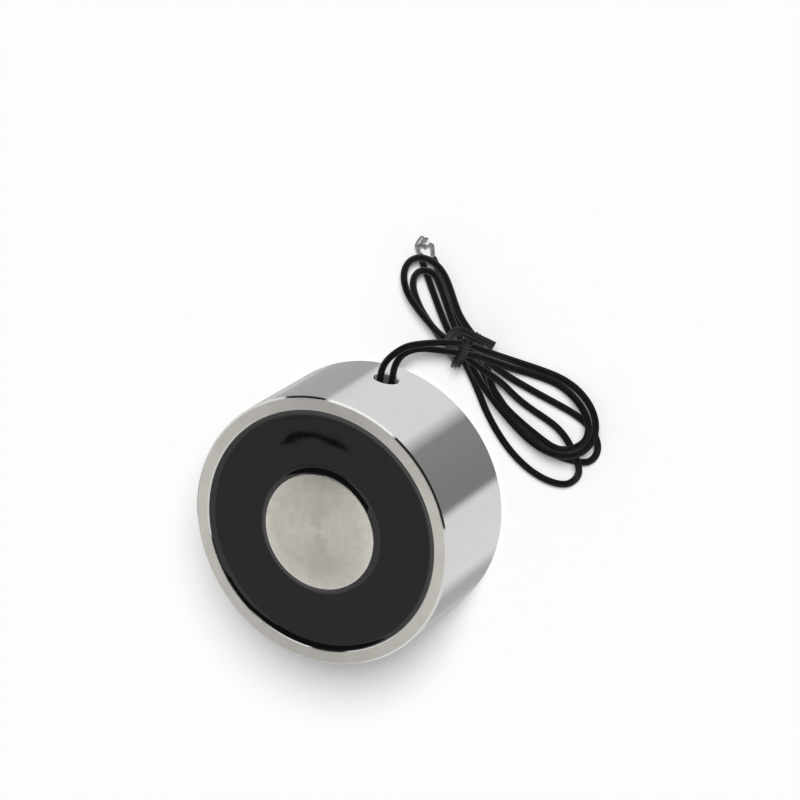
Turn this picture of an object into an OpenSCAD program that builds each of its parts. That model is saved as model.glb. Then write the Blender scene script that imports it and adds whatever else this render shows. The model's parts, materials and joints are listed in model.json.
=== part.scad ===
// Round pot-type lifting electromagnet, in millimetres.
// A turned steel pot and a pressed-in core carry a bobbin-wound coil, potted in black resin.
// Two soft leads leave through a hole in the side and lie beside the pot in a tied hank.
// The origin is the centre of the back face. +Z points to the holding face, +X to the lead hole.

/* [Steel pot] */
// Outside diameter of the pot
pot_d = 65; // [62:0.5:72]
// Height of the pot, from the back face to the holding face
pot_h = 30; // [28:0.5:40]
// Radial width of the outer pole, the pot's rim
rim_w = 3.35; // [2.5:0.05:4]
// Thickness of the pot's floor
floor_t = 5; // [4:0.1:5.4]
// Chamfer round the pot's two outer edges
edge_chamfer = 0.5; // [0.2:0.1:1]
// Chamfer on the inner edge of the rim
rim_chamfer = 0.25; // [0.1:0.05:0.5]
// Radius left by the tool in the corner between floor and wall
corner_r = 0.8; // [0.4:0.1:1]

/* [Core] */
// Diameter of the centre pole
core_d = 28; // [22:0.5:30]
// Diameter of the spigot that is pressed through the floor
spigot_d = 16; // [13:0.5:20]
// Chamfer round the pole's face
core_chamfer = 0.3; // [0.1:0.1:0.8]
// Radial gap that stands for the press fit of the spigot
press_gap = 0.01; // [0:0.01:0.05]

/* [Mounting thread] */
// Diameter of the tapping drill, 6.8 for M8
tap_drill_d = 6.8; // [5:0.1:8.5]
// Depth of the straight part of the hole
thread_depth = 14; // [8:0.5:20]
// Diameter of the countersink at the mouth
countersink_d = 8.6; // [8.6:0.1:11]
// Full angle of the drill's point
drill_point = 118; // [90:1:140]

/* [Lead outlet] */
// Diameter of the hole that the leads come out of
outlet_d = 6; // [5.4:0.1:6.5]
// Height of the outlet's centre above the back face
outlet_z = 8.5; // [8.4:0.1:9.5]
// Chamfer round the outlet
outlet_chamfer = 0.4; // [0.1:0.1:0.6]

/* [Bobbin] */
// Wall of the bobbin's hub
hub_wall = 1; // [0.6:0.1:2]
// Thickness of the bobbin's two flanges
flange_t = 1.2; // [0.8:0.1:1.5]
// Radial gap between the core and the bobbin
bobbin_gap = 0.2; // [0.05:0.05:0.5]
// Radial gap between the flanges and the pot
flange_gap = 0.55; // [0.3:0.05:1]
// Depth of the bobbin's upper face below the holding face
bobbin_drop = 3; // [2:0.1:6]
// Width of the slot in the lower flange for the coil's inner end
slot_w = 1.2; // [0.9:0.1:2]
// Thickness of the insulating washer under the bobbin
washer_t = 0.3; // [0.2:0.05:0.5]

/* [Coil] */
// Radial space kept outside the winding's tape for the splices
lead_space = 3.4; // [3:0.05:4.5]
// Thickness of the tape round the winding
tape_t = 0.25; // [0.1:0.05:0.5]
// Diameter of the enamelled wire's two tails
magnet_wire_d = 0.6; // [0.3:0.05:0.7]
// Gap between pieces that lie against each other in the coil
fit_gap = 0.02; // [0.01:0.01:0.05]

/* [Potting resin] */
// Depth of the resin's face below the holding face, half-way across
resin_drop = 0.9; // [0.5:0.05:1.6]
// Height that the resin creeps up the two walls
meniscus_h = 0.5; // [0:0.05:0.8]
// Width over which the creep dies away
meniscus_w = 0.9; // [0.4:0.1:2]

/* [Leads] */
// Outside diameter of a lead
wire_d = 1.6; // [1.4:0.05:1.6]
// Distance between the two leads in the outlet
lead_pitch = 2.8; // [2.4:0.1:3]
// Diameter of a lead's tinned bare end
bare_d = 0.9; // [0.6:0.05:1.1]
// Diameter of one loose strand
strand_d = 0.4; // [0.3:0.05:0.5]

/* [Splices] */
// Angle of each splice round the pot, from the outlet
splice_angle = 20; // [19:0.5:24]
// Length of the soldered joint
joint_l = 4; // [3:0.25:4.5]
// Diameter of the soldered joint
joint_d = 1; // [0.8:0.05:1.3]
// Outside diameter of the sleeve over the joint
sleeve_d = 2.3; // [2.2:0.05:2.4]
// Wall of that sleeve
sleeve_wall = 0.25; // [0.15:0.05:0.3]
// Length of jacket that the sleeve covers
sleeve_lap = 1.5; // [0.5:0.25:2]
// Angle of the slot that the coil's inner end runs along, from the outlet
slot_angle = 30; // [28:0.5:36]

/* [Twist tie] */
// Width of the tie's strip
tie_w = 2.4; // [1.8:0.1:2.6]
// Thickness of the strip
tie_t = 0.6; // [0.4:0.05:0.6]

/* [Hidden] */
$fn = 96;

// How far a cutter runs past the face that it cuts
cut = 0.5;

pot_r = pot_d / 2;
pocket_r = pot_r - rim_w;
core_r = core_d / 2;
spigot_r = spigot_d / 2;

// The bobbin stands on the washer, and the washer on the floor.
bobbin_z = floor_t + washer_t;
bobbin_top = pot_h - bobbin_drop;
hub_r = core_r + bobbin_gap;
winding_in_r = hub_r + hub_wall + fit_gap;
flange_r = pocket_r - flange_gap;
winding_z = bobbin_z + flange_t + fit_gap;
winding_top = bobbin_top - flange_t - fit_gap;
tape_r = pocket_r - lead_space;
winding_r = tape_r - tape_t - fit_gap;

// Each splice lies along the pot, just outside the tape.
// side is -1 for lead A and 1 for lead B, and mirrors the splice across the outlet.
splice_r = tape_r + sleeve_d / 2 + 0.05;
splice_dir = [-sin(splice_angle), cos(splice_angle), 0];
splice_mid = [splice_r * cos(splice_angle), splice_r * sin(splice_angle), outlet_z];
jacket_end = splice_mid - splice_dir * joint_l / 2;
joint_end = splice_mid + splice_dir * joint_l / 2;

// Inside the pot each lead turns from its splice towards the outlet on one arc.
turn_r = 3.1;
turn_y = lead_pitch / 2 + turn_r;
turn_end_y = turn_y - turn_r * sin(splice_angle);
turn_end_x = jacket_end[0]
    + sin(splice_angle) * (jacket_end[1] - turn_end_y) / cos(splice_angle);
turn_x = turn_end_x + turn_r * cos(splice_angle);
inner_run = concat(
    [jacket_end],
    [for (i = [3 : -1 : 0])
        let (a = i / 3 * (90 - splice_angle))
        [turn_x - turn_r * sin(a), turn_y - turn_r * cos(a), outlet_z]]
);

// Routes of the two leads outside the pot, from the outlet to the far end.
// Each runs to the tie, round the large loop, back through the tie and round the upper loop,
// through the tie again, round its last loop, and through the tie to its bare end.
lead_a_route = [
    [32.5, -1.5, 8.5], [35.5, -1.5, 8.5], [38.3, -2, 7.2], [40.5, -4.3, 6.1], [42.2, -10.4, 5],
    [43.6, -16.1, 5.45], [44, -19.9, 5], [42.8, -25.2, 2], [42.6, -31, 0.8], [42.5, -38, 0.8],
    [40.5, -44.5, 2], [36.6, -48.4, 3], [32.9, -48.6, 3.3], [29.8, -45.8, 3.8],
    [28.3, -41.9, 2.8], [29, -37.3, 2], [32.7, -30.1, 3.3], [36.5, -24.5, 3.1],
    [40.5, -21.2, 1.5], [45.2, -18.3, 1.65], [50.3, -12.8, 2.3], [56.9, -8.3, 2.5],
    [60.5, -4.8, 2.6], [61.2, -0.3, 2.6], [59.1, 2.6, 2.2], [55.3, 3.5, 1.7], [52.2, 1.9, 2.2],
    [49.8, -1, 2.8], [46.6, -6.1, 3.2], [45.2, -10.5, 4.3], [44.4, -16, 4.1], [43, -20.4, 3],
    [40.7, -25.3, 1.4], [39.2, -30.9, 0.8], [37.7, -40, 0.8], [36.2, -46.1, 0.8],
    [33.4, -50, 0.8], [30.5, -51.2, 0.8], [27.3, -50, 0.8], [25.9, -46.2, 0.8], [25.8, -41, 0.8],
    [29, -32.5, 0.8], [35.7, -23.6, 0.8], [39.5, -20, 1.3], [44.2, -16.9, 1.8], [48.1, -12.5, 1.1],
    [53.6, -7.3, 0.8], [57.9, -4.9, 0.8], [61.5, -2.3, 0.8]
];
lead_b_route = [
    [32.5, 1.5, 8.5], [35.6, 1.1, 8.5], [38.8, -0.7, 8.4], [41.2, -3, 7.7], [42.8, -6.2, 6.5],
    [45.1, -12.3, 6.05], [45.9, -16.5, 5.1], [45.9, -21.2, 5], [44.5, -25.7, 1.6],
    [44.3, -31, 0.8], [44.1, -39, 0.8], [42.2, -45.5, 1.8], [38.7, -49.4, 2.8], [35, -50.6, 3.6],
    [31.4, -49.6, 4.7], [28.5, -46.2, 5], [27.4, -41.8, 4.4], [27.6, -36.8, 3.2],
    [30.8, -29.6, 2.6], [35.3, -23, 2.6], [38.9, -18.9, 2.6], [43.7, -15, 2.4],
    [48.8, -11.5, 3.25], [53.6, -7.9, 2.6], [56.7, -5.8, 2.6], [58.3, -4.3, 2.6],
    [58.5, -1.7, 2.6], [56.6, 0.5, 2], [54, 1, 1.4], [51.5, 0.2, 1], [48.4, -2, 0.8],
    [44.9, -6.6, 1.4], [43, -11.3, 3.1], [42.6, -15.8, 4], [40.9, -21.3, 4.1], [39, -25.4, 2.8],
    [36.2, -29.4, 1.3], [34.1, -34.7, 0.8], [32.3, -41, 1.2], [28.8, -45.9, 2],
    [25.8, -48.2, 2.5], [22.6, -48, 1.2], [20.1, -46.2, 0.8], [19, -42.5, 0.8],
    [20.1, -35.9, 0.8], [25.2, -27.6, 0.8], [33.5, -20.3, 0.8], [37.7, -17.4, 1.4],
    [42.2, -13.4, 1.6], [46.9, -9, 1.2], [54, -3.7, 0.8], [61.2, 1.1, 0.8]
];

// Bare ends: a soldered stub on each lead, and two splayed strands on lead B.
bare_a_route = [
    [61.5, -2.3, 0.8], [62.22, -1.78, 0.8], [63.3, -1.3, 0.7], [64.4, -1.2, 0.6], [65, -0.6, 0.6]
];
bare_b_route = [[61.2, 1.1, 0.8], [61.8, 1.5, 0.8], [63.2, 2, 0.7]];
strand_hook = [
    [62.8, 1.9, 0.7], [64.2, 2.5, 0.9], [65.4, 2.1, 1.3], [65.9, 1, 1.4], [65.3, 0.1, 1.2],
    [64.3, 0.5, 0.9]
];
strand_side = [[62.6, 1.6, 0.7], [63.4, 0.9, 0.9], [63.8, -0.2, 0.7]];

// The tie's loop stands square across the bundle. Its outline is a hull of four corner circles,
// given as distance across the bundle and height.
tie_at = [43.8, -15.4];
tie_turn = -30;
tie_corners = [[-3.3, 1.7], [3.3, 1.7], [3.3, 5.25], [-2.1, 5.25]];
tie_corner_r = 0.98;
// The two cut ends are pinched a little narrower than the loop. Each is a line of points with
// the strip's width direction.
tie_pinch = 0.2;
tie_tail_long = [[43.4, -14.7, 6.7], [46.3, -16, 6.9], [48.1, -18.4, 6.8], [48.6, -20.9, 6.4],
    [48.1, -23.3, 5.7]];
tie_tail_long_across = [0.9, 0.45, 0];
tie_tail_short = [[44.7, -16.3, 6.6], [42.8, -15.3, 7.2], [41.4, -14.3, 7.1], [40, -13.4, 5.5],
    [39.2, -13.3, 3.2]];
tie_tail_short_across = [-0.5, 0.85, 0];

function unit(v) = v / norm(v);
function polar(r, a, z) = [r * cos(a), r * sin(a), z];
function side_of(points, side) = [for (p = points) [p[0], side * p[1], p[2]]];
function tangents(p) = [for (i = [0 : len(p) - 1])
    i == 0 ? unit(p[1] - p[0])
    : i == len(p) - 1 ? unit(p[i] - p[i - 1])
    : unit(unit(p[i + 1] - p[i]) + unit(p[i] - p[i - 1]))];
// One normal for each tangent, carried along the line without twist
function normals(t, before, i = 0) = i == len(t) ? []
    : let (n = unit(before - (before * t[i]) * t[i])) concat([n], normals(t, n, i + 1));

// Joins rings that all have the same number of points into one closed solid
module skin(rings) {
    n = len(rings[0]);
    last = len(rings) - 1;
    walls = [for (i = [0 : last - 1], j = [0 : n - 1], half = [0, 1])
        let (a = i * n + j, b = i * n + (j + 1) % n)
        half == 0 ? [a, b, b + n] : [a, b + n, a + n]];
    ends = [[for (j = [n - 1 : -1 : 0]) j], [for (j = [0 : n - 1]) last * n + j]];
    polyhedron(points = [for (r = rings, p = r) p], faces = concat(walls, ends));
}

// A round wire of radius r along a line of points
module wire(points, r, sides = 8) {
    t = tangents(points);
    n = normals(t, abs(t[0][2]) > 0.9 ? [1, 0, 0] : [0, 0, 1]);
    skin([for (i = [0 : len(points) - 1])
        let (u = n[i], v = cross(n[i], t[i]))
        [for (k = [0 : sides - 1])
            points[i] + r * (cos(360 * k / sides) * u + sin(360 * k / sides) * v)]]);
}

// A flat strip of the given width and thickness along a line of points
module strip(points, across, width, thickness) {
    t = tangents(points);
    skin([for (i = [0 : len(points) - 1])
        let (
            w = unit(across - (across * t[i]) * t[i]) * width / 2,
            h = unit(cross(t[i], w)) * thickness / 2
        )
        [points[i] - w - h, points[i] - w + h, points[i] + w + h, points[i] + w - h]]);
}

// A ring between two radii and two heights
module ring(r_in, r_out, z_low, z_high) {
    rotate_extrude()
        translate([r_in, z_low])
            square([r_out - r_in, z_high - z_low]);
}

// The hole for the leads, with its chamfer in the pot's outer wall
module outlet_cutter() {
    translate([0, 0, outlet_z])
        rotate([0, 90, 0]) {
            translate([0, 0, pocket_r - 1])
                cylinder(r = outlet_d / 2, h = rim_w + 2);
            translate([0, 0, pot_r - outlet_chamfer])
                cylinder(
                    r1 = outlet_d / 2, r2 = outlet_d / 2 + outlet_chamfer + cut,
                    h = outlet_chamfer + cut
                );
        }
}

// Turned cup: floor, wall and rim in one piece, bored for the core's spigot
module pot_shell() {
    floor_corner = [for (a = [0 : 15 : 90])
        [pocket_r - corner_r + corner_r * cos(a), floor_t + corner_r - corner_r * sin(a)]];
    color("silver")
        difference() {
            rotate_extrude()
                polygon(concat(
                    [
                        [spigot_r + press_gap, 0],
                        [pot_r - edge_chamfer, 0],
                        [pot_r, edge_chamfer],
                        [pot_r, pot_h - edge_chamfer],
                        [pot_r - edge_chamfer, pot_h],
                        [pocket_r + rim_chamfer, pot_h],
                        [pocket_r, pot_h - rim_chamfer]
                    ],
                    floor_corner,
                    [[spigot_r + press_gap, floor_t]]
                ));
            outlet_cutter();
        }
}

// Turned centre pole with a spigot, flush with the back face and tapped from there
module core() {
    countersink = (countersink_d - tap_drill_d) / 2;
    point_h = tap_drill_d / 2 / tan(drill_point / 2);
    color("gainsboro")
        rotate_extrude()
            polygon([
                [countersink_d / 2, 0],
                [spigot_r, 0],
                [spigot_r, floor_t],
                [core_r, floor_t],
                [core_r, pot_h - core_chamfer],
                [core_r - core_chamfer, pot_h],
                [0, pot_h],
                [0, thread_depth + point_h],
                [tap_drill_d / 2, thread_depth],
                [tap_drill_d / 2, countersink]
            ]);
}

// Pressed-paper washer between the bobbin and the pot's floor
module insulating_washer() {
    color("tan")
        ring(core_r + bobbin_gap, flange_r - corner_r / 2, floor_t, floor_t + washer_t);
}

// Moulded former: a hub and two flanges, slotted for the coil's inner end
module bobbin() {
    color("ivory")
        difference() {
            rotate_extrude()
                polygon([
                    [hub_r, bobbin_z],
                    [flange_r, bobbin_z],
                    [flange_r, bobbin_z + flange_t],
                    [hub_r + hub_wall, bobbin_z + flange_t],
                    [hub_r + hub_wall, bobbin_top - flange_t],
                    [flange_r, bobbin_top - flange_t],
                    [flange_r, bobbin_top],
                    [hub_r, bobbin_top]
                ]);
            rotate([0, 0, -slot_angle])
                translate([winding_in_r, -slot_w / 2, bobbin_z - cut])
                    cube([pot_r, slot_w, flange_t + 2 * cut]);
        }
}

// Enamelled copper winding, wound solid between the flanges
module coil_winding() {
    color("peru")
        ring(winding_in_r, winding_r, winding_z, winding_top);
}

// Tape round the winding, pierced where the coil's outer end comes through
module winding_tape() {
    color("gold")
        difference() {
            ring(winding_r + fit_gap, tape_r, winding_z, winding_top);
            rotate([0, 0, finish_angle])
                translate([winding_r - cut, 0, outlet_z])
                    rotate([0, 90, 0])
                        cylinder(
                            r = magnet_wire_d / 2 + 0.1, h = tape_t + 2 * cut, $fn = 24
                        );
        }
}

// Coil tails: the inner end comes out along the slot, the outer end through the tape
slot_z = bobbin_z + magnet_wire_d / 2 + 0.1;
finish_angle = splice_angle + 10;
start_route = concat(
    side_of([joint_end, joint_end + splice_dir * 1.2], -1),
    [
        polar(splice_r, -slot_angle + 1, outlet_z - 0.9),
        polar(splice_r - 0.5, -slot_angle, slot_z + 0.7),
        polar(splice_r - 1.4, -slot_angle, slot_z),
        polar(winding_in_r + 1.6, -slot_angle, slot_z),
        polar(winding_in_r + 1, -slot_angle, slot_z + 0.3),
        polar(winding_in_r + 1, -slot_angle, winding_z - fit_gap)
    ]
);
finish_route = [
    joint_end,
    joint_end + splice_dir * 1.2,
    polar(splice_r, finish_angle - 0.6, outlet_z),
    polar(splice_r - 0.6, finish_angle, outlet_z),
    polar(winding_r + fit_gap, finish_angle, outlet_z)
];
module start_tail() {
    color("chocolate")
        wire(start_route, magnet_wire_d / 2, 6);
}
module finish_tail() {
    color("chocolate")
        wire(finish_route, magnet_wire_d / 2, 6);
}

// Turns a piece drawn along +Z from the origin into a splice's place
module at_splice(side) {
    translate([jacket_end[0], side * jacket_end[1], outlet_z])
        rotate([0, 0, side * (splice_angle + 90)])
            rotate([0, 90, 0])
                children();
}
module solder_joint(side) {
    color("lightgray")
        at_splice(side)
            translate([0, 0, fit_gap])
                cylinder(d = joint_d, h = joint_l - 2 * fit_gap, $fn = 32);
}
module splice_sleeve(side, grow = 0) {
    at_splice(side)
        translate([0, 0, -sleeve_lap - grow])
            cylinder(d = sleeve_d + 2 * grow, h = sleeve_lap + joint_l + 2 * grow, $fn = 32);
}
module hollow_sleeve(side) {
    color("dimgray")
        difference() {
            splice_sleeve(side);
            at_splice(side)
                translate([0, 0, -sleeve_lap - cut])
                    cylinder(
                        d = sleeve_d - 2 * sleeve_wall, h = sleeve_lap + joint_l + 2 * cut,
                        $fn = 32
                    );
        }
}
module solder_joint_a() solder_joint(-1);
module solder_joint_b() solder_joint(1);
module splice_sleeve_a() hollow_sleeve(-1);
module splice_sleeve_b() hollow_sleeve(1);

// Height of the resin's face at radius r: low half-way across, creeping up both walls
function resin_z(r) = pot_h - resin_drop
    + meniscus_h * exp(-(r - core_r) / meniscus_w)
    + meniscus_h * exp(-(pocket_r - r) / meniscus_w);
resin_in = core_r + fit_gap;
resin_out = pocket_r - fit_gap;
// Steps across the resin's face, closer together near the two walls
resin_steps = [0, 0.02, 0.05, 0.09, 0.14, 0.22, 0.35, 0.5, 0.65, 0.78, 0.86, 0.91, 0.95, 0.98, 1];

// Black epoxy that fills the pot over and around the coil
module potting_resin() {
    face = [for (s = resin_steps)
        let (r = resin_in + s * (resin_out - resin_in)) [r, resin_z(r)]];
    color([0.15, 0.15, 0.15])
        difference() {
            rotate_extrude()
                polygon(concat(
                    face,
                    [
                        [resin_out, floor_t + corner_r + fit_gap],
                        [flange_r + fit_gap, floor_t + corner_r + fit_gap],
                        [flange_r + fit_gap, winding_z],
                        [tape_r + fit_gap, winding_z],
                        [tape_r + fit_gap, winding_top],
                        [flange_r + fit_gap, winding_top],
                        [flange_r + fit_gap, bobbin_top + fit_gap],
                        [resin_in, bobbin_top + fit_gap]
                    ]
                ));
            for (side = [-1, 1]) {
                wire(
                    side_of(concat(inner_run, [[pot_r, lead_pitch / 2, outlet_z]]), side),
                    wire_d / 2 + fit_gap
                );
                splice_sleeve(side, fit_gap);
            }
            wire(start_route, magnet_wire_d / 2 + fit_gap, 6);
            wire(finish_route, magnet_wire_d / 2 + fit_gap, 6);
        }
}

// Leads: soft jacketed wires, each from its splice to its far end
module lead_a() {
    color([0.1, 0.1, 0.1])
        wire(concat(side_of(inner_run, -1), lead_a_route), wire_d / 2);
}
module lead_b() {
    color([0.1, 0.1, 0.1])
        wire(concat(inner_run, lead_b_route), wire_d / 2);
}
module lead_a_tip() {
    color("lightsteelblue")
        wire(bare_a_route, bare_d / 2);
}
module lead_b_tip() {
    color("lightsteelblue") {
        wire(bare_b_route, bare_d / 2);
        wire(strand_hook, strand_d / 2, 6);
        wire(strand_side, strand_d / 2, 6);
    }
}

// Plastic-covered wire tie: a loop round the bundle and two cut ends
module tie_outline(grow) {
    hull()
        for (c = tie_corners)
            translate(c)
                circle(r = tie_corner_r + grow, $fn = 24);
}
module twist_tie() {
    color([0.12, 0.12, 0.12]) {
        translate([tie_at[0], tie_at[1], 0])
            rotate([0, 0, tie_turn])
                rotate([90, 0, 0])
                    translate([0, 0, -tie_w / 2])
                        linear_extrude(tie_w)
                            difference() {
                                tie_outline(tie_t);
                                tie_outline(0);
                            }
        strip(tie_tail_long, tie_tail_long_across, tie_w - tie_pinch, tie_t);
        strip(tie_tail_short, tie_tail_short_across, tie_w - tie_pinch, tie_t);
    }
}

pot_shell();
core();
insulating_washer();
bobbin();
coil_winding();
winding_tape();
start_tail();
finish_tail();
solder_joint_a();
solder_joint_b();
splice_sleeve_a();
splice_sleeve_b();
potting_resin();
lead_a();
lead_b();
lead_a_tip();
lead_b_tip();
twist_tie();
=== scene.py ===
"""Looks of a round pot-type lifting electromagnet with two black leads in a tied hank.

Everything is in metres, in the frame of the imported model: the origin is the centre of the back face,
+Z points to the holding face and +X to the lead outlet.
"""

import json
import math

import bpy
import numpy as np
from mathutils import Matrix, Vector

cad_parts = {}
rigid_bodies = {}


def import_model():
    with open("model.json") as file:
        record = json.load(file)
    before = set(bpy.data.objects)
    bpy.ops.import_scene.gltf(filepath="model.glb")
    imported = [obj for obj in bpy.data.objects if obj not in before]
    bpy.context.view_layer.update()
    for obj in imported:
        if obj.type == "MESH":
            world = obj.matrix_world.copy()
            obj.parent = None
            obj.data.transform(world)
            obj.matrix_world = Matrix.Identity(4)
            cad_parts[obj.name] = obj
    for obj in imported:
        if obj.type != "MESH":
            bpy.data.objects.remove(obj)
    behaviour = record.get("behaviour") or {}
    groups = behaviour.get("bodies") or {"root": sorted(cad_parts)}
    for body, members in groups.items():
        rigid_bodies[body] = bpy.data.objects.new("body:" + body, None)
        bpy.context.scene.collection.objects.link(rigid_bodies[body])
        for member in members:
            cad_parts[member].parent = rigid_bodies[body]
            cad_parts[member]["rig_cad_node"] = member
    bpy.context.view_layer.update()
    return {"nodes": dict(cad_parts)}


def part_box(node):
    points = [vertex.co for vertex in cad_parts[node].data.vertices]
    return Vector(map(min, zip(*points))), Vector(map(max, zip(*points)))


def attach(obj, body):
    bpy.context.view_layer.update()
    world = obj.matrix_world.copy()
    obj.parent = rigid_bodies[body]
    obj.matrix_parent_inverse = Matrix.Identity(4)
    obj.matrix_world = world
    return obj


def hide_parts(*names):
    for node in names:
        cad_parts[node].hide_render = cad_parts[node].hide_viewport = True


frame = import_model()

MM = 0.001

# Sizes: the pot's radius and height from the imported model, the others given here
pot_low, pot_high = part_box("pot_shell")
POT_R = pot_high.x
POT_H = pot_high.z
CORE_R = 14 * MM
SPIGOT_R = 8 * MM
FLOOR_T = 5 * MM
POCKET_R = 29.15 * MM
OUTLET_Z = 8.5 * MM

# Camera, on the photograph's line of sight
CAMERA_AT = Vector((0.27059, -0.21888, 0.52875))
CAMERA_BACK = Vector((0.39522, -0.35007, 0.84927))
CAMERA_UP = Vector((0.90069, 0.32932, -0.28339))
LENS_MM = 119.4
SENSOR_MM = 36


def add_camera():
    back = CAMERA_BACK.normalized()
    right = CAMERA_UP.cross(back).normalized()
    up = back.cross(right)
    data = bpy.data.cameras.new("camera")
    data.lens = LENS_MM
    data.sensor_width = SENSOR_MM
    data.clip_start = 0.01
    data.clip_end = 20
    camera = bpy.data.objects.new("camera", data)
    turn = Matrix((right, up, back)).transposed().to_4x4()
    camera.matrix_world = Matrix.Translation(CAMERA_AT) @ turn
    bpy.context.scene.collection.objects.link(camera)
    bpy.context.scene.camera = camera


add_camera()


# Materials


class Nodes:
    """One new material and short ways to add nodes to it."""

    def __init__(self, name, color, roughness, metallic=0.0, **sockets):
        self.material = bpy.data.materials.new(name)
        self.material.use_nodes = True
        self.tree = self.material.node_tree
        self.shader = self.tree.nodes["Principled BSDF"]
        self.shader.inputs["Base Color"].default_value = (*color, 1)
        self.shader.inputs["Roughness"].default_value = roughness
        self.shader.inputs["Metallic"].default_value = metallic
        for socket, value in sockets.items():
            self.shader.inputs[socket.replace("_", " ")].default_value = value
        self.place = self.tree.nodes.new("ShaderNodeTexCoord").outputs["Object"]

    def add(self, kind, settings=None, **inputs):
        node = self.tree.nodes.new("ShaderNode" + kind)
        for key, value in (settings or {}).items():
            setattr(node, key, value)
        for key, value in inputs.items():
            socket = node.inputs[int(key[1:])] if key[1:].isdigit() else node.inputs[key.replace("_", " ")]
            if isinstance(value, bpy.types.NodeSocket):
                self.tree.links.new(value, socket)
            else:
                socket.default_value = value
        return node

    def link(self, output, socket):
        self.tree.links.new(output, self.shader.inputs[socket])

    def noise(self, scale, detail=3.0, stretch=(1, 1, 1)):
        """Noise in the object's own space, with scale in features per metre."""
        place = self.add("Mapping", i0=self.place, Scale=stretch).outputs[0]
        return self.add("TexNoise", Vector=place, Scale=scale, Detail=detail).outputs[0]

    def spread(self, value, low, high, from_low=0.3, from_high=0.7):
        """Turns a 0 to 1 value into a number between low and high."""
        keys = {"From_Min": from_low, "From_Max": from_high, "To_Min": low, "To_Max": high}
        return self.add("MapRange", Value=value, **keys).outputs[0]

    def tint(self, value, dark, light):
        """Mixes two colours by a 0 to 1 value."""
        mix = self.add("Mix", {"data_type": "RGBA"}, i0=value)
        mix.inputs[6].default_value = (*dark, 1)
        mix.inputs[7].default_value = (*light, 1)
        return mix.outputs[2]

    def bump(self, height, strength, distance):
        node = self.add("Bump", Height=height, Strength=strength, Distance=distance)
        self.link(node.outputs[0], "Normal")


def math_node(nodes, operation, first, second=0.0):
    return nodes.add("Math", {"operation": operation}, i0=first, i1=second).outputs[0]


def radius_of(nodes):
    """Distance from the pot's axis."""
    part = nodes.add("SeparateXYZ", i0=nodes.place)
    flat = nodes.add("CombineXYZ", i0=part.outputs[0], i1=part.outputs[1])
    return nodes.add("VectorMath", {"operation": "LENGTH"}, i0=flat.outputs[0]).outputs["Value"]


def turned_lines(nodes, pitch, jitter=0.25):
    """Fine rings round the axis, as a turning tool leaves them."""
    wobble = math_node(nodes, "MULTIPLY", nodes.noise(180), jitter * pitch)
    line = math_node(nodes, "ADD", radius_of(nodes), wobble)
    return math_node(nodes, "SINE", math_node(nodes, "MULTIPLY", line, 2 * math.pi / pitch))


def nickel_shell():
    """Bright nickel plate: mirror-like on the side, satin and finely turned on the rim, with a painted highlight round
    the outlet's mouth.
    """
    nodes = Nodes("nickel_shell", (0.71, 0.695, 0.665), 0.17, 1.0, Anisotropic=0.85, Anisotropic_Rotation=0.25)
    nodes.link(nodes.add("Tangent", {"direction_type": "RADIAL", "axis": "Z"}).outputs[0], "Tangent")
    part = nodes.add("SeparateXYZ", i0=nodes.place)
    on_rim = nodes.add(
        "MapRange", Value=part.outputs[2], From_Min=POT_H - 0.15 * MM, From_Max=POT_H - 0.05 * MM
    ).outputs[0]
    side = nodes.spread(nodes.noise(90), 0.09, 0.13)
    rim = nodes.spread(nodes.noise(1400), 0.32, 0.44)
    rough = nodes.add("Mix", i0=on_rim, i2=side, i3=rim).outputs[0]
    flat_place = nodes.add("CombineXYZ", i1=part.outputs[1], i2=math_node(nodes, "SUBTRACT", part.outputs[2], OUTLET_Z))
    from_bore = nodes.add("VectorMath", {"operation": "LENGTH"}, i0=flat_place.outputs[0]).outputs["Value"]
    near_bore = math_node(nodes, "LESS_THAN", from_bore, 3.42 * MM)
    in_front = math_node(nodes, "GREATER_THAN", part.outputs[0], 28 * MM)
    in_bore = math_node(nodes, "MULTIPLY", near_bore, in_front)
    nodes.link(nodes.add("Mix", i0=in_bore, i2=rough, i3=0.5).outputs[0], "Roughness")
    # A ring just inside the outlet's mouth gets a near-white colour, lighter than any nickel: a painted highlight on
    # the bore's chamfer.
    past_bore = math_node(nodes, "GREATER_THAN", from_bore, 3.04 * MM)
    painted_highlight_ring = math_node(nodes, "MULTIPLY", in_bore, past_bore)
    cloud = nodes.spread(nodes.noise(260, 6), 0, 1)
    plate = nodes.add("Mix", {"data_type": "RGBA"}, i0=on_rim)
    nodes.tree.links.new(nodes.tint(cloud, (0.69, 0.69, 0.685), (0.71, 0.71, 0.705)), plate.inputs[6])
    nodes.tree.links.new(nodes.tint(cloud, (0.76, 0.735, 0.68), (0.83, 0.805, 0.75)), plate.inputs[7])
    bored = nodes.add("Mix", {"data_type": "RGBA"}, i0=in_bore, i7=(0.6, 0.6, 0.585, 1))
    nodes.tree.links.new(plate.outputs[2], bored.inputs[6])
    plate_with_painted_highlight = nodes.add("Mix", {"data_type": "RGBA"}, i0=painted_highlight_ring, i7=(0.97, 0.97, 0.95, 1))
    nodes.tree.links.new(bored.outputs[2], plate_with_painted_highlight.inputs[6])
    nodes.link(plate_with_painted_highlight.outputs[2], "Base Color")
    lines = math_node(nodes, "MULTIPLY", turned_lines(nodes, 0.11 * MM), on_rim)
    grain = nodes.noise(2600, 4)
    height = math_node(nodes, "ADD", math_node(nodes, "MULTIPLY", lines, 0.5), grain)
    nodes.bump(height, 0.12, 0.02 * MM)
    return nodes.material


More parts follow.
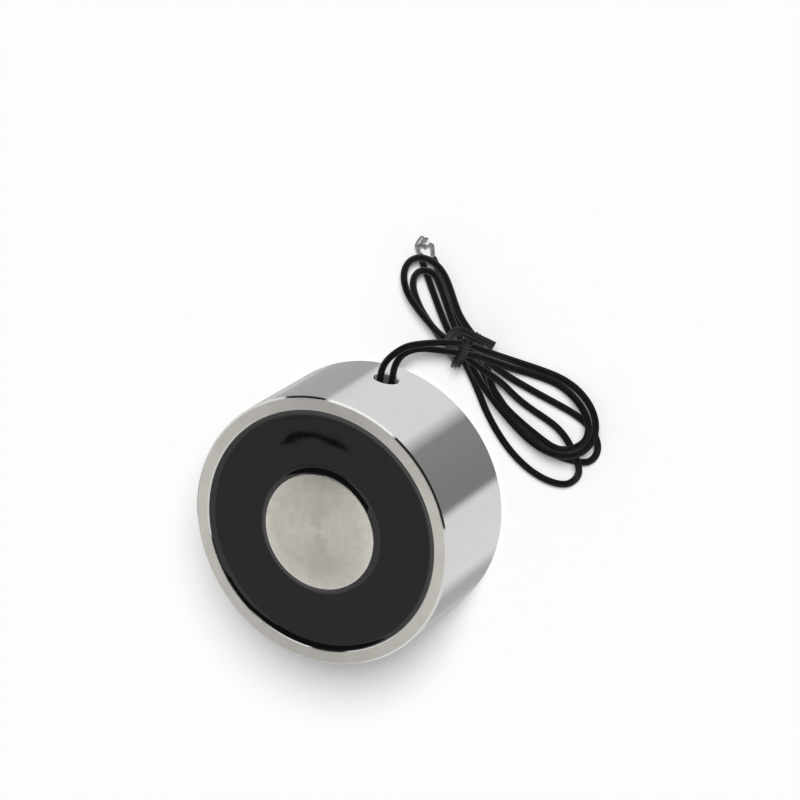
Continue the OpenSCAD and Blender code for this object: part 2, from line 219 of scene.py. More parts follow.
def nickel_core():
    """Nickel plate on a faced pole: satin, with fine rings that spread highlights into a fan."""
    nodes = Nodes("nickel_core", (0.70, 0.685, 0.65), 0.33, 1.0, Anisotropic=0.7, Anisotropic_Rotation=0.25)
    axis = nodes.add("Tangent", {"direction_type": "RADIAL", "axis": "Z"}).outputs[0]
    nodes.link(axis, "Tangent")
    nodes.link(nodes.spread(nodes.noise(700, 6), 0.28, 0.42), "Roughness")
    cloud = nodes.spread(nodes.noise(620, 9), 0, 1)
    nodes.link(nodes.tint(cloud, (0.73, 0.70, 0.63), (0.83, 0.80, 0.735)), "Base Color")
    height = math_node(nodes, "ADD", turned_lines(nodes, 0.14 * MM), nodes.noise(2200, 4))
    nodes.bump(height, 0.10, 0.02 * MM)
    return nodes.material


def potting_resin():
    """Poured black epoxy, glossy and faintly wavy."""
    nodes = Nodes("potting_resin", (0.002, 0.0022, 0.0024), 0.07, IOR=1.5)
    nodes.link(nodes.tint(nodes.noise(300, 4), (0.0015, 0.0016, 0.0018), (0.0032, 0.0034, 0.0038)), "Base Color")
    nodes.link(nodes.spread(nodes.noise(220, 5), 0.035, 0.08), "Roughness")
    wave = math_node(nodes, "ADD", nodes.noise(110, 1), math_node(nodes, "MULTIPLY", nodes.noise(900, 3), 0.04))
    nodes.bump(wave, 0.25, 0.12 * MM)
    return nodes.material


def lead_jacket():
    """Soft black PVC with a half gloss and a faint extruded grain."""
    nodes = Nodes("lead_jacket", (0.004, 0.004, 0.0045), 0.36, IOR=1.5, Specular_IOR_Level=0.18)
    nodes.link(nodes.spread(nodes.noise(1300, 5), 0.3, 0.48), "Roughness")
    nodes.link(nodes.tint(nodes.noise(500, 5), (0.0018, 0.0018, 0.002), (0.0045, 0.0045, 0.005)), "Base Color")
    nodes.bump(nodes.noise(3800, 4), 0.12, 0.02 * MM)
    return nodes.material


def tinned_copper():
    """Tinned strands, a little dull."""
    nodes = Nodes("tinned_copper", (0.46, 0.46, 0.44), 0.26, 1.0)
    nodes.link(nodes.spread(nodes.noise(4200, 4), 0.25, 0.5), "Roughness")
    nodes.link(nodes.tint(nodes.noise(1100, 3), (0.12, 0.12, 0.115), (0.5, 0.5, 0.48)), "Base Color")
    nodes.bump(nodes.noise(9000, 3), 0.2, 0.01 * MM)
    return nodes.material


def tie_plastic():
    """Matt black PVC over a wire, creased where it is twisted."""
    nodes = Nodes("tie_plastic", (0.006, 0.006, 0.007), 0.3, IOR=1.5, Specular_IOR_Level=0.35)
    nodes.link(nodes.spread(nodes.noise(1500, 5), 0.2, 0.38), "Roughness")
    nodes.link(nodes.tint(nodes.noise(800, 5), (0.004, 0.004, 0.005), (0.009, 0.009, 0.01)), "Base Color")
    nodes.bump(nodes.noise(2600, 5), 0.35, 0.05 * MM)
    return nodes.material


def speckled(name, dark, light, roughness, grain, metallic=0.0, depth=0.03 * MM, stretch=(1, 1, 1)):
    """A plain material with grain in its colour, gloss and height."""
    nodes = Nodes(name, light, roughness, metallic)
    value = nodes.noise(grain, 5, stretch)
    nodes.link(nodes.tint(value, dark, light), "Base Color")
    nodes.link(nodes.spread(value, roughness + 0.08, roughness - 0.06), "Roughness")
    nodes.bump(value, 0.25, depth)
    return nodes.material


def copper_winding():
    """Enamelled copper, with one fine ridge for each turn of wire."""
    nodes = Nodes("copper_winding", (0.60, 0.20, 0.07), 0.26, 1.0, Coat_Weight=0.6)
    part = nodes.add("SeparateXYZ", i0=nodes.place)
    turn = math_node(nodes, "SINE", math_node(nodes, "MULTIPLY", part.outputs[2], 2 * math.pi / (0.6 * MM)))
    nodes.link(nodes.tint(nodes.noise(500, 4), (0.48, 0.14, 0.05), (0.68, 0.25, 0.09)), "Base Color")
    nodes.bump(turn, 0.6, 0.12 * MM)
    return nodes.material


def floor_material():
    """Pale paper that a camera sees as white, and that still takes the shadow. Mirrored straight off the metal it shows
    a painted reflection instead: a grey glow set by each point's level.
    """
    nodes = Nodes("floor", (0.9, 0.9, 0.9), 0.9)
    rays = nodes.add("LightPath")
    seen = math_node(nodes, "MAXIMUM", rays.outputs["Is Camera Ray"], rays.outputs["Is Glossy Ray"])
    seen = math_node(nodes, "MAXIMUM", seen, rays.outputs["Is Transmission Ray"])
    nodes.link(math_node(nodes, "MULTIPLY", seen, FLOOR_LIFT), "Emission Strength")
    nodes.shader.inputs["Emission Color"].default_value = (1, 1, 1, 1)
    fine = nodes.spread(nodes.noise(60, 4), 0.85, 0.95)
    nodes.link(fine, "Roughness")
    # Painted reflection: rays mirrored straight off the metal see a grey glow, set per point by the level attribute, in
    # place of the lit paper.
    straight = math_node(nodes, "LESS_THAN", rays.outputs["Diffuse Depth"], 0.5)
    mirrored = math_node(nodes, "MULTIPLY", rays.outputs["Is Glossy Ray"], straight)
    painted_reflection_share = nodes.add("Attribute", {"attribute_name": "painted_reflection_share"}).outputs["Fac"]
    level = nodes.add("Attribute", {"attribute_name": "level"}).outputs["Fac"]
    grey = nodes.add("Emission", Strength=level)
    share = math_node(nodes, "MULTIPLY", mirrored, painted_reflection_share)
    both = nodes.add("MixShader", i0=share, i1=nodes.shader.outputs[0], i2=grey.outputs[0])
    surface = next(n for n in nodes.tree.nodes if n.type == "OUTPUT_MATERIAL").inputs["Surface"]
    nodes.tree.links.new(both.outputs[0], surface)
    return nodes.material


FLOOR_LIFT = 0.06

MATERIALS = {
    "nickel_shell": nickel_shell(),
    "nickel_core": nickel_core(),
    "potting_resin": potting_resin(),
    "lead_jacket": lead_jacket(),
    "tinned_copper": tinned_copper(),
    "tie_plastic": tie_plastic(),
    "copper_winding": copper_winding(),
    "insulation_paper": speckled("insulation_paper", (0.45, 0.33, 0.18), (0.62, 0.48, 0.29), 0.85, 1400),
    "bobbin_nylon": speckled("bobbin_nylon", (0.74, 0.71, 0.62), (0.82, 0.80, 0.72), 0.45, 600),
    "winding_tape": speckled("winding_tape", (0.66, 0.44, 0.05), (0.80, 0.58, 0.10), 0.25, 300),
    "magnet_wire": speckled("magnet_wire", (0.40, 0.12, 0.04), (0.60, 0.22, 0.08), 0.25, 2500, 1.0),
    "solder": speckled("solder", (0.55, 0.55, 0.56), (0.78, 0.78, 0.79), 0.3, 2200, 1.0),
    "splice_sleeve": speckled("splice_sleeve", (0.015, 0.015, 0.015), (0.03, 0.03, 0.03), 0.5, 1600),
}


def dress(piece, slot):
    """Gives a piece the material of that slot, and the pot's body to ride on."""
    piece.data.materials.clear()
    piece.data.materials.append(MATERIALS[slot])
    if "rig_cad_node" not in piece:
        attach(piece, "root")


# Mesh makers


def mesh_piece(name, points, faces, crease_angle=40.0):
    """A smooth-shaded mesh object with edges sharper than crease_angle kept crisp."""
    mesh = bpy.data.meshes.new(name)
    mesh.from_pydata([tuple(p) for p in points], [], faces)
    mesh.validate()
    mesh.shade_smooth()
    mesh.set_sharp_from_angle(angle=math.radians(crease_angle))
    piece = bpy.data.objects.new(name, mesh)
    bpy.context.scene.collection.objects.link(piece)
    return piece


def skin(rings, closed_ends=True, base=0):
    """Faces that join rings of equal length into a tube, with a cap at each end."""
    count = len(rings[0])
    faces = [
        (base + i * count + j, base + i * count + (j + 1) % count,
         base + (i + 1) * count + (j + 1) % count, base + (i + 1) * count + j)
        for i in range(len(rings) - 1)
        for j in range(count)
    ]
    if closed_ends:
        last = base + (len(rings) - 1) * count
        faces.append(tuple(range(base + count - 1, base - 1, -1)))
        faces.append(tuple(range(last, last + count)))
    return faces


def spline(points, spacing):
    """Points along the natural cubic spline through the given points, about spacing apart."""
    knots = np.array(points, float)
    step = np.linalg.norm(np.diff(knots, axis=0), axis=1)
    at = np.concatenate([[0], np.cumsum(step)])
    count = len(knots)
    system = np.zeros((count, count))
    right = np.zeros((count, knots.shape[1]))
    system[0, 0] = system[-1, -1] = 1
    for i in range(1, count - 1):
        system[i, i - 1 : i + 2] = step[i - 1], 2 * (step[i - 1] + step[i]), step[i]
        right[i] = 6 * ((knots[i + 1] - knots[i]) / step[i] - (knots[i] - knots[i - 1]) / step[i - 1])
    curve = np.linalg.solve(system, right)
    t = np.linspace(0, at[-1], max(2, round(at[-1] / spacing) + 1))
    k = np.clip(np.searchsorted(at, t, side="right") - 1, 0, count - 2)
    before, after, h = (t - at[k])[:, None], (at[k + 1] - t)[:, None], step[k][:, None]
    return (
        curve[k] * after**3 / (6 * h) + curve[k + 1] * before**3 / (6 * h)
        + (knots[k] / h - curve[k] * h / 6) * after
        + (knots[k + 1] / h - curve[k + 1] * h / 6) * before
    )


def frames_along(path, start_side=(0, 0, 1)):
    """A tangent and two cross directions at each point, carried along without twist."""
    tangents = np.gradient(path, axis=0)
    tangents /= np.linalg.norm(tangents, axis=1)[:, None]
    side = np.array(start_side, float)
    sides = []
    for tangent in tangents:
        side = side - (side @ tangent) * tangent
        side /= np.linalg.norm(side)
        sides.append(side)
    sides = np.array(sides)
    return tangents, sides, np.cross(tangents, sides)


def tube_rings(path, radii, sides):
    """Round rings along a path. radii is one radius, or one for each point."""
    _, u, v = frames_along(path)
    radii = np.broadcast_to(radii, len(path))
    angles = 2 * np.pi * np.arange(sides) / sides
    return [
        [path[i] + radii[i] * (math.cos(a) * u[i] + math.sin(a) * v[i]) for a in angles]
        for i in range(len(path))
    ]


def joined(name, ring_sets, crease_angle=40.0):
    """One mesh object from several tubes."""
    points, faces = [], []
    for rings in ring_sets:
        faces += skin(rings, base=len(points))
        points += [p for ring in rings for p in ring]
    return mesh_piece(name, points, faces, crease_angle)


def turned(name, rows, segments, crease_angle=30.0):
    """A closed turned piece. A row is (radius, height), or (function of angle, height) for a thread."""
    angles = 2 * np.pi * np.arange(segments) / segments
    points, starts = [], []
    for radius, z in rows:
        starts.append(len(points))
        if not callable(radius) and radius == 0:
            points.append((0, 0, z))
            continue
        for a in angles:
            r = radius(a) if callable(radius) else radius
            points.append((r * math.cos(a), r * math.sin(a), z))
    faces = []
    for i in range(len(rows)):
        k = (i + 1) % len(rows)
        here, there = starts[i], starts[k]
        if rows[i][0] == 0 and rows[k][0] == 0:
            continue
        for j in range(segments):
            n = (j + 1) % segments
            if rows[i][0] == 0:
                faces.append((here, there + n, there + j))
            elif rows[k][0] == 0:
                faces.append((here + j, here + n, there))
            else:
                faces.append((here + j, here + n, there + n, there + j))
    return mesh_piece(name, points, faces, crease_angle)


# Leads

WIRE_R = 0.8 * MM
RING_STEP = 0.45 * MM
LEAD_SIDES = 20

# Half of the run inside the resin, from the splice to the outlet, mirrored for lead A
INNER_RUN = [(26.01, 7.34, 8.5), (27.43, 3.44, 8.5), (28.09, 2.37, 8.5), (29.11, 1.65, 8.5), (30.34, 1.4, 8.5)]
LEAD_A_ROUTE = [
    (32.5, -1.5, 8.5), (35.5, -1.5, 8.5), (38.3, -2, 7.2), (40.5, -4.3, 6.1), (42.2, -10.4, 5),
    (43.6, -16.1, 5.45), (44, -19.9, 5), (42.8, -25.2, 2), (42.6, -31, 0.8), (42.5, -38, 0.8),
    (40.5, -44.5, 2), (36.6, -48.4, 3), (32.9, -48.6, 3.3), (29.8, -45.8, 3.8),
    (28.3, -41.9, 2.8), (29, -37.3, 2), (32.7, -30.1, 3.3), (36.5, -24.5, 3.1),
    (40.5, -21.2, 1.5), (45.2, -18.3, 1.65), (50.3, -12.8, 2.3), (56.9, -8.3, 2.5),
    (60.5, -4.8, 2.6), (61.2, -0.3, 2.6), (59.1, 2.6, 2.2), (55.3, 3.5, 1.7), (52.2, 1.9, 2.2),
    (49.8, -1, 2.8), (46.6, -6.1, 3.2), (45.2, -10.5, 4.3), (44.4, -16, 4.1), (43, -20.4, 3),
    (40.7, -25.3, 1.4), (39.2, -30.9, 0.8), (37.7, -40, 0.8), (36.2, -46.1, 0.8),
    (33.4, -50, 0.8), (30.5, -51.2, 0.8), (27.3, -50, 0.8), (25.9, -46.2, 0.8), (25.8, -41, 0.8),
    (29, -32.5, 0.8), (35.7, -23.6, 0.8), (39.5, -20, 1.3), (44.2, -16.9, 1.8), (48.1, -12.5, 1.1),
    (53.6, -7.3, 0.8), (57.9, -4.9, 0.8), (61.5, -2.3, 0.8),
]
LEAD_B_ROUTE = [
    (32.5, 1.5, 8.5), (35.6, 1.1, 8.5), (38.8, -0.7, 8.4), (41.2, -3, 7.7), (42.8, -6.2, 6.5),
    (45.1, -12.3, 6.05), (45.9, -16.5, 5.1), (45.9, -21.2, 5), (44.5, -25.7, 1.6),
    (44.3, -31, 0.8), (44.1, -39, 0.8), (42.2, -45.5, 1.8), (38.7, -49.4, 2.8), (35, -50.6, 3.6),
    (31.4, -49.6, 4.7), (28.5, -46.2, 5), (27.4, -41.8, 4.4), (27.6, -36.8, 3.2),
    (30.8, -29.6, 2.6), (35.3, -23, 2.6), (38.9, -18.9, 2.6), (43.7, -15, 2.4),
    (48.8, -11.5, 3.25), (53.6, -7.9, 2.6), (56.7, -5.8, 2.6), (58.3, -4.3, 2.6),
    (58.5, -1.7, 2.6), (56.6, 0.5, 2), (54, 1, 1.4), (51.5, 0.2, 1), (48.4, -2, 0.8),
    (44.9, -6.6, 1.4), (43, -11.3, 3.1), (42.6, -15.8, 4), (40.9, -21.3, 4.1), (39, -25.4, 2.8),
    (36.2, -29.4, 1.3), (34.1, -34.7, 0.8), (32.3, -41, 1.2), (28.8, -45.9, 2),
    (25.8, -48.2, 2.5), (22.6, -48, 1.2), (20.1, -46.2, 0.8), (19, -42.5, 0.8),
    (20.1, -35.9, 0.8), (25.2, -27.6, 0.8), (33.5, -20.3, 0.8), (37.7, -17.4, 1.4),
    (42.2, -13.4, 1.6), (46.9, -9, 1.2), (54, -3.7, 0.8), (61.2, 1.1, 0.8),
]


def metres(points):
    return [tuple(MM * x for x in p) for p in points]


def lead_path(side, route):
    """The smooth centreline of a lead, kept on or above the floor."""
    inner = [(x, side * y, z) for x, y, z in INNER_RUN]
    path = spline(metres(inner + route), RING_STEP)
    path[:, 2] = np.maximum(path[:, 2], WIRE_R)
    return path


def lead(name, path):
    """A jacket with a cut end, slightly drawn in where the conductor comes out."""
    radii = np.full(len(path), WIRE_R)
    radii[0] = radii[-1] = 0.9 * WIRE_R
    return joined(name, [tube_rings(path, radii, LEAD_SIDES)], 60)


def split_at_outlet(path):
    """The run inside the resin, and the free lead from just inside the outlet."""
    k = int(np.argmax(path[:, 0] > 29.2 * MM))
    return path[: k + 1], path[k:]


inner_a, path_a = split_at_outlet(lead_path(-1, LEAD_A_ROUTE))
inner_b, path_b = split_at_outlet(lead_path(1, LEAD_B_ROUTE))
lead_a = lead("lead_a_jacket", path_a)
lead_b = lead("lead_b_jacket", path_b)
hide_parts("lead_a")
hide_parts("lead_b")
hidden_a = lead("lead_a_inner", inner_a)
hidden_b = lead("lead_b_inner", inner_b)

# Bare ends: thin strands laid round each other, some of them splayed

STRAND_R = 0.19 * MM
LOOSE_R = 0.23 * MM
STRAND_SIDES = 8
LAY_R = 0.3 * MM
LAY_PITCH = 4.5 * MM
STRANDS = 5

STUB_A = [(60.8, -2.8, 0.8), (61.5, -2.35, 0.8), (62.3, -2.1, 0.8), (63.3, -1.8, 0.8), (64.4, -1.35, 0.9), (64.6, -0.85, 0.9)]
STUB_B = [(60.6, 0.7, 0.8), (61.2, 1.1, 0.8), (61.9, 1.6, 0.8), (62.7, 2, 0.85), (63.3, 2.05, 0.95)]
LOOP_B = [
    (61.9, 1.6, 0.9), (62.8, 2.3, 1), (64.2, 2, 1.2), (65.2, 1.5, 1.4), (65.7, 0.9, 1.5), (65.5, 0.5, 1.5),
    (64.3, 0.9, 1.3), (63.3, 1.6, 1.1),
]
SPLAYED_B = [
    [(62.8, 1.9, 1), (63.8, 1, 1.1), (65, 0.2, 1.3), (65.7, -0.35, 1.5), (65.5, 0.2, 1.5), (64.4, 0.9, 1.4)],
    [(63.1, 2.4, 1.2), (63.1, 1.7, 1.2), (63.3, 1.1, 1.1), (63.7, 0.4, 1), (63.8, -0.5, 1), (64.4, -1.2, 1)],
    [(62.2, 1.7, 0.7), (63, 1.2, 0.8), (63.2, 0.6, 0.6), (62.8, 0, 0.5)],
]


def laid_strands(route, radius=STRAND_R, lay=LAY_R, phase=0.0):
    """A core strand with the others wound round it, as sets of rings."""
    path = spline(metres(route), 0.15 * MM)
    _, u, v = frames_along(path)
    along = np.concatenate([[0], np.cumsum(np.linalg.norm(np.diff(path, axis=0), axis=1))])
    sets = [tube_rings(path, radius, STRAND_SIDES)]
    for k in range(STRANDS - 1):
        a = phase + 2 * np.pi * (k / (STRANDS - 1) + along / LAY_PITCH)
        line = path + lay * (np.cos(a)[:, None] * u + np.sin(a)[:, None] * v)
        line[:, 2] = np.maximum(line[:, 2], radius)
        short = (k % 3) * 2
        sets.append(tube_rings(line[: len(line) - short], radius, STRAND_SIDES))
    return sets


def loose_strand(route):
    path = spline(metres(route), 0.15 * MM)
    path[:, 2] = np.maximum(path[:, 2], LOOSE_R)
    return tube_rings(path, LOOSE_R, STRAND_SIDES)


tip_a = joined("bare_end_a", laid_strands(STUB_A))
tip_b = joined("bare_end_b", laid_strands(STUB_B, phase=0.4) + [loose_strand(r) for r in [LOOP_B, *SPLAYED_B]])
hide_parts("lead_a_tip")
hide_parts("lead_b_tip")

# Twist tie: one strip with a wire along its middle, wound round the bundle and twisted on top

TIE_AT = Vector((43.8, -15.4, 0)) * MM
TIE_TURN = math.radians(-30)
TIE_W = 2.2 * MM
WING_T = 0.22 * MM
RIB_R = 0.34 * MM

# Points across the bundle, along the bundle and up, each with the roll of the strip in degrees
TIE_ROUTE = [
    (7.6, 4.7, 5.7, 5), (7, 2.3, 6.6, 5), (5.9, -0.5, 7, 5), (4.4, -3, 6.9, 5), (2.2, -3.9, 6.4, 0),
    (0.1, -3.8, 5.6, 0), (-1.9, -3.1, 4.9, 5), (-3.6, -2, 4.1, 20), (-4.5, -1, 2.6, 36), (-4.1, -0.2, 0.9, 50),
    (-2.8, 0, 0.44, 53), (0, 0, 0.42, 53), (2.8, 0, 0.44, 53), (4.1, 0.1, 0.9, 54), (4.6, 0.2, 2.4, 55),
    (4.6, 0.1, 4.3, 55), (4.1, -0.1, 5.9, 50), (2.9, -0.1, 6.6, 45), (0.9, 0.7, 6.5, 42),
    (-1.4, 1.2, 6.3, 42), (-3.4, 1.5, 5.4, 34), (-4.6, 1.6, 4.1, 22),
]


def tie_section():
    """Half-widths and heights round the strip's section: two thin wings and a round rib."""
    half_w, half_t, rib = TIE_W / 2, WING_T / 2, RIB_R
    arc = [(rib * math.cos(a), rib * math.sin(a)) for a in np.radians(range(25, 156, 26))]
    top = [(half_w, half_t * 0.6), (half_w - 0.1 * MM, half_t), (rib * 1.35, half_t)] + arc
    top += [(-rib * 1.35, half_t), (-half_w + 0.1 * MM, half_t), (-half_w, half_t * 0.6)]
    return top + [(-x, -y) for x, y in top]


def twist_tie():
    across = Vector((math.cos(TIE_TURN), math.sin(TIE_TURN), 0))
    along = Vector((math.sin(TIE_TURN), -math.cos(TIE_TURN), 0))
    knots = [
        (*(TIE_AT + across * u * MM + along * v * MM + Vector((0, 0, z * MM))), math.radians(roll) * MM)
        for u, v, z, roll in TIE_ROUTE
    ]
    dense = spline(knots, 0.2 * MM)
    path, roll = dense[:, :3], dense[:, 3:] / MM
    _, flat, thick = frames_along(path, across)
    width = np.cos(roll) * flat + np.sin(roll) * thick
    up = np.cos(roll) * thick - np.sin(roll) * flat
    rings = [
        [path[i] + width[i] * x + up[i] * y for x, y in tie_section()]
        for i in range(len(path))
    ]
    return joined("twist_tie_strip", [rings], 50)


tie = twist_tie()
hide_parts("twist_tie")

for jacket in (lead_a, lead_b, hidden_a, hidden_b):
    dress(jacket, "lead_jacket")
dress(tip_a, "tinned_copper")
dress(tip_b, "tinned_copper")
dress(tie, "tie_plastic")
for piece in (lead_a, lead_b, hidden_a, hidden_b, tip_a, tip_b, tie):
    piece.visible_glossy = False

# Core with its tapped hole

THREAD_PITCH = 1.25 * MM
THREAD_MINOR_R = 3.4 * MM
THREAD_MAJOR_R = 4.03 * MM
THREAD_START = 0.75 * MM
THREAD_END = 12.4 * MM
ROWS_PER_PITCH = 12


def thread_radius(z):
    """Radius of the M8 groove at height z, as a function of the angle."""
    fade = min(1.0, (THREAD_END - z) / THREAD_PITCH)

    def radius(angle):
        phase = (z / THREAD_PITCH - angle / (2 * math.pi)) % 1
        tooth = abs(2 * phase - 1)
        depth = min(1.0, max(0.0, (tooth - 0.22) / 0.62))
        return THREAD_MINOR_R + fade * depth * (THREAD_MAJOR_R - THREAD_MINOR_R)

    return radius


def core_piece():
    bevel = 0.3 * MM
    rows = [
        (SPIGOT_R, 0), (SPIGOT_R, FLOOR_T), (CORE_R, FLOOR_T), (CORE_R, POT_H - bevel),
        (CORE_R - 0.09 * MM, POT_H - 0.09 * MM), (CORE_R - bevel, POT_H),
        (0.66 * CORE_R, POT_H), (0.33 * CORE_R, POT_H), (0.1 * CORE_R, POT_H), (0, POT_H),
        (0, 16.043 * MM), (THREAD_MINOR_R, 14 * MM), (THREAD_MINOR_R, THREAD_END),
    ]
    count = round((THREAD_END - THREAD_START) / THREAD_PITCH * ROWS_PER_PITCH)
    for i in range(1, count + 1):
        z = THREAD_END - i * (THREAD_END - THREAD_START) / count
        rows.append((thread_radius(z), z))
    rows.append((4.3 * MM, 0))
    piece = turned("core_turned", rows, 144)
    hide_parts("core")
    dress(piece, "nickel_core")


core_piece()


# Resin, with the soft creep up both walls


def creep(distance):
    """How high the resin stands at this distance from a wall: an even slope that fades out."""
    slope, reach, fade = 0.5, 1.3 * MM, 0.22 * MM
    even = slope * fade * math.log1p(math.exp((reach - distance) / fade))
    return even + 0.1 * MM * math.exp(-distance / (0.12 * MM))


def resin_height(radius):
    return POT_H - 1.0 * MM + creep(radius - CORE_R) + creep(POCKET_R - radius)


def resin_piece():
    gap = 0.02 * MM
    inner, outer = CORE_R + gap, POCKET_R - gap
    steps = 90
    face = []
    for i in range(steps + 1):
        s = 0.5 - 0.5 * math.cos(math.pi * i / steps)
        r = inner + s * (outer - inner)
        face.append((r, resin_height(r)))
    side = [(outer, 5.82 * MM), (28.62 * MM, 5.82 * MM), (28.62 * MM, 27.02 * MM), (inner, 27.02 * MM)]
    piece = turned("resin_fill", (face + side)[::-1], 160)
    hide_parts("potting_resin")
    dress(piece, "potting_resin")


resin_piece()

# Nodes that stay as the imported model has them

KEPT = {
    "pot_shell": "nickel_shell",
    "insulating_washer": "insulation_paper",
    "bobbin": "bobbin_nylon",
    "coil_winding": "copper_winding",
    "winding_tape": "winding_tape",
    "start_tail": "magnet_wire",
    "finish_tail": "magnet_wire",
    "solder_joint_a": "solder",
    "solder_joint_b": "solder",
    "splice_sleeve_a": "splice_sleeve",
    "splice_sleeve_b": "splice_sleeve",
}
for node, slot in KEPT.items():
    dress(frame["nodes"][node], slot)

# Stage: floor, cards that only the metal sees, and lamps


def stage_mesh(name, points, faces, material):
    mesh = bpy.data.meshes.new(name)
    mesh.from_pydata([tuple(p) for p in points], [], faces)
    mesh.materials.append(material)
    piece = bpy.data.objects.new(name, mesh)
    bpy.context.scene.collection.objects.link(piece)
    return piece


def glow_material(name, level):
    material = bpy.data.materials.new(name)
    material.use_nodes = True
    tree = material.node_tree
    tree.nodes.clear()
    glow = tree.nodes.new("ShaderNodeEmission")
    glow.inputs["Strength"].default_value = level
    out = tree.nodes.new("ShaderNodeOutputMaterial")
    tree.links.new(glow.outputs[0], out.inputs["Surface"])
    return material


def only_in_gloss(piece):
    """The piece shows in reflections, and neither lights nor hides anything else."""
    piece.visible_camera = False
    piece.visible_diffuse = False
    piece.visible_shadow = False
    piece.visible_transmission = False
    for slot in piece.material_slots:
        slot.material.cycles.emission_sampling = "NONE"


# Painted reflection: grey levels painted on the floor for the pot's side to mirror, by the angle round the axis in
# degrees
VIEW_TURN = math.atan2(CAMERA_AT.y, CAMERA_AT.x)
SIDE_PAINTED_REFLECTION = [
    (-180, 0.6), (-150, 0.4), (-128, 0.62), (-120, 0.6), (-116, 0.52), (-108, 0.455), (-101, 0.47), (-93, 0.88),
    (-65, 0.88), (-61.5, 0.25), (-50, 0.27), (-35, 0.3), (-28, 0.91), (0, 0.91), (8, 0.83), (9.5, 0.47),
    (33, 0.47), (38, 0.74), (41, 0.6), (45, 0.36), (49, 0.25), (60, 0.3), (72, 0.45), (100, 0.45), (112, 0.85), (140, 0.8), (150, 0.4), (180, 0.6),
]
PAINTED_REFLECTION_R = 110 * MM
PAINTED_REFLECTION_END = 190 * MM


def mirror_angle(x, y):
    """The angle round the axis at which the side mirrors each floor point to the camera."""
    turn = (np.arctan2(y, x) - VIEW_TURN + np.pi) % (2 * np.pi) - np.pi
    away = np.abs(turn)
    reach = np.hypot(x, y)
    px, py = reach * np.cos(away), reach * np.sin(away)
    low, high = away / 2, np.minimum(away, np.pi / 2)
    for _ in range(30):
        mid = (low + high) / 2
        dx, dy = px - POT_R * np.cos(mid), py - POT_R * np.sin(mid)
        short = np.cos(2 * mid) * dy - np.sin(2 * mid) * dx > 0
        low, high = np.where(short, mid, low), np.where(short, high, mid)
    found = np.where((px < 0) & (py < POT_R), away, (low + high) / 2)
    return np.degrees(np.sign(turn) * found + VIEW_TURN)


def floor_piece():
    """Rings of floor round the pot, each point with the grey of the painted reflection that the side mirrors there."""
    turns = 360
    radii = [0.02, POT_R - 0.5 * MM]
    radii += [POT_R + 1.2 * MM * i for i in range(46)]
    radii += [0.095, 0.105, 0.12, 0.14, 0.165, 0.19, 0.5, FLOOR_R]
    points, faces = [(0, 0, FLOOR_Z)], []
    for r in radii:
        for j in range(turns):
            a = 2 * math.pi * j / turns
            points.append((r * math.cos(a), r * math.sin(a), FLOOR_Z))
    for j in range(turns):
        k = (j + 1) % turns
        faces.append((0, 1 + j, 1 + k))
        for i in range(len(radii) - 1):
            near, far = 1 + i * turns, 1 + (i + 1) * turns
            faces.append((near + j, far + j, far + k, near + k))
    piece = stage_mesh("floor", points, faces, floor_material())
    spots = np.array(points)
    reach = np.hypot(spots[:, 0], spots[:, 1])
    at, levels = zip(*SIDE_PAINTED_REFLECTION)
    spots[reach < POT_R] *= 1.001 * POT_R / np.maximum(reach[reach < POT_R], 1e-6)[:, None]
    angle = (mirror_angle(spots[:, 0], spots[:, 1]) + 180) % 360 - 180
    # The painted reflection holds near the pot and fades out further away.
    painted_reflection_share = np.interp(reach, [PAINTED_REFLECTION_R, PAINTED_REFLECTION_END], [1, 0])
    for key, value in (("level", np.interp(angle, at, levels)), ("painted_reflection_share", painted_reflection_share)):
        own = piece.data.attributes.new(key, "FLOAT", "POINT")
        own.data.foreach_set("value", value.astype(np.float32))
    return piece


FLOOR_R = 3.0
FLOOR_Z = -0.05 * MM
floor_piece()

# Studio panels: from and to round the axis, from and to above the floor, and their level
PANELS = {
    "softbox": (-14, 32, 15, 35, 1.3),
    "flag_left": (34, 58, 5, 30, 0.02),
    "flag_right": (-85, -16, 15, 45, 0.02),
    "slot": (60, 73, 4, 10, 1.0),
    "dark_sky": (-60, 92, 35, 76, 0.04),
    "grey_back": (100, 180, 38, 75, 0.5),
}


def panel(name, distance, start, end, low, high, level):
    points, faces = [], []
    steps = 12
    for i in range(steps + 1):
        turn = math.radians(start + (end - start) * i / steps)
        for j in range(steps + 1):
            rise = math.radians(low + (high - low) * j / steps)
            flat = distance * math.cos(rise)
            points.append((flat * math.cos(turn), flat * math.sin(turn), distance * math.sin(rise)))
    for i in range(steps):
        for j in range(steps):
            k = i * (steps + 1) + j
            faces.append((k, k + 1, k + steps + 2, k + steps + 1))
    only_in_gloss(stage_mesh("panel_" + name, points, faces, glow_material("glow_" + name, level)))


for index, (name, place) in enumerate(PANELS.items()):
    panel(name, 1.2 + 0.02 * index, *place)


# A dark shape that the flat resin mirrors, a painted reflection of a dark crescent: points on the resin and
# half-widths, in mm
DARK_ARC = [
    (17.2, 13.8, 0.2), (19.7, 11.3, 1.1), (21.3, 8.5, 0.85), (22.2, 5.5, 0.75), (22.3, 2.2, 0.95), (22.1, -1, 0.75),
    (21.9, -2.9, 0.2),
]


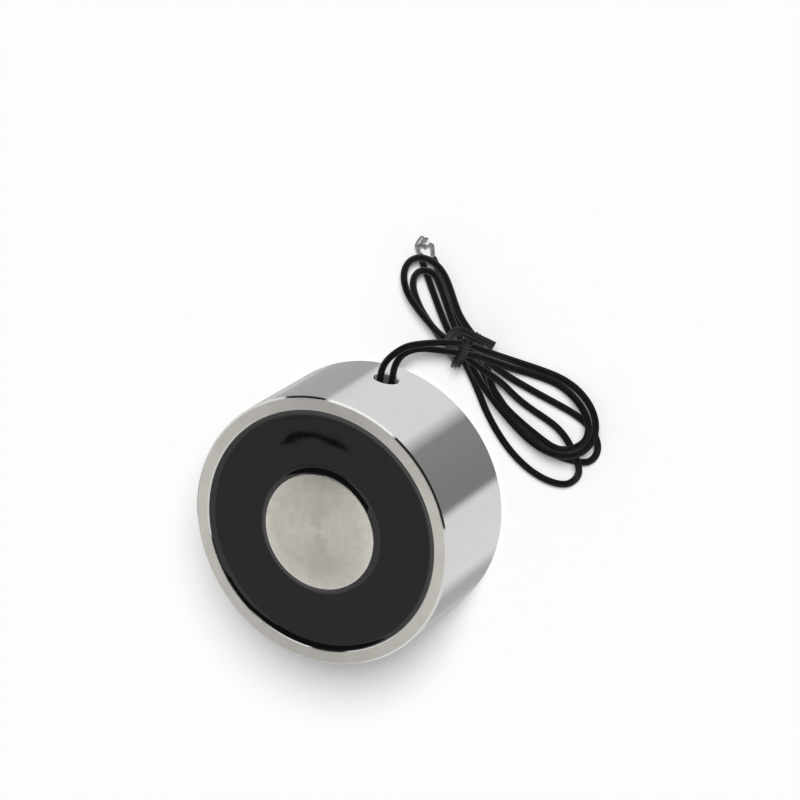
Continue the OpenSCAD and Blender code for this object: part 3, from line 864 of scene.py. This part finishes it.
def dark_arc():
    points, faces = [], []
    for x, y, half in spline([(*p,) for p in DARK_ARC], 0.8):
        for edge in (-half, half):
            grow = 1 + edge / math.hypot(x, y)
            spot = Vector((x * grow, y * grow, 29.05)) * MM
            # Each point is set off along the mirrored line of sight, so the resin shows this painted reflection to the
            # camera.
            away = spot - CAMERA_AT
            points.append(spot + 0.1 * Vector((away.x, away.y, -away.z)) / away.length)
    for i in range(len(points) // 2 - 1):
        faces.append((2 * i, 2 * i + 1, 2 * i + 3, 2 * i + 2))
    only_in_gloss(stage_mesh("panel_dark_arc", points, faces, glow_material("glow_dark_arc", 0.01)))


dark_arc()


def sun(turn, rise, spread, strength):
    data = bpy.data.lights.new("key", "SUN")
    data.angle = math.radians(spread)
    data.energy = strength
    lamp = bpy.data.objects.new("key", data)
    a, e = math.radians(turn), math.radians(rise)
    toward = Vector((math.cos(e) * math.cos(a), math.cos(e) * math.sin(a), math.sin(e)))
    lamp.rotation_euler = toward.to_track_quat("Z", "Y").to_euler()
    lamp.visible_glossy = False
    bpy.context.scene.collection.objects.link(lamp)


sun(-25, 50, 26, 3.4)


def white_world():
    world = bpy.data.worlds.new("studio")
    bpy.context.scene.world = world
    world.use_nodes = True
    tree = world.node_tree
    shader = tree.nodes["Background"]
    shader.inputs["Color"].default_value = (1, 1, 1, 1)
    rays = tree.nodes.new("ShaderNodeLightPath")
    level = tree.nodes.new("ShaderNodeMapRange")
    level.inputs["To Min"].default_value = 1
    level.inputs["To Max"].default_value = WORLD_LEVEL
    tree.links.new(rays.outputs["Is Diffuse Ray"], level.inputs["Value"])
    mirrored = tree.nodes.new("ShaderNodeMapRange")
    mirrored.inputs["To Max"].default_value = MIRROR_LEVEL
    tree.links.new(rays.outputs["Is Glossy Ray"], mirrored.inputs["Value"])
    tree.links.new(level.outputs[0], mirrored.inputs["To Min"])
    lit = tree.nodes.new("ShaderNodeMapRange")
    lit.inputs["To Max"].default_value = WORLD_LEVEL
    tree.links.new(rays.outputs["Diffuse Depth"], lit.inputs["Value"])
    tree.links.new(mirrored.outputs[0], lit.inputs["To Min"])
    tree.links.new(lit.outputs[0], shader.inputs["Strength"])


WORLD_LEVEL = 0.2
MIRROR_LEVEL = 0.9
white_world()

bpy.context.scene.view_settings.view_transform = "Standard"
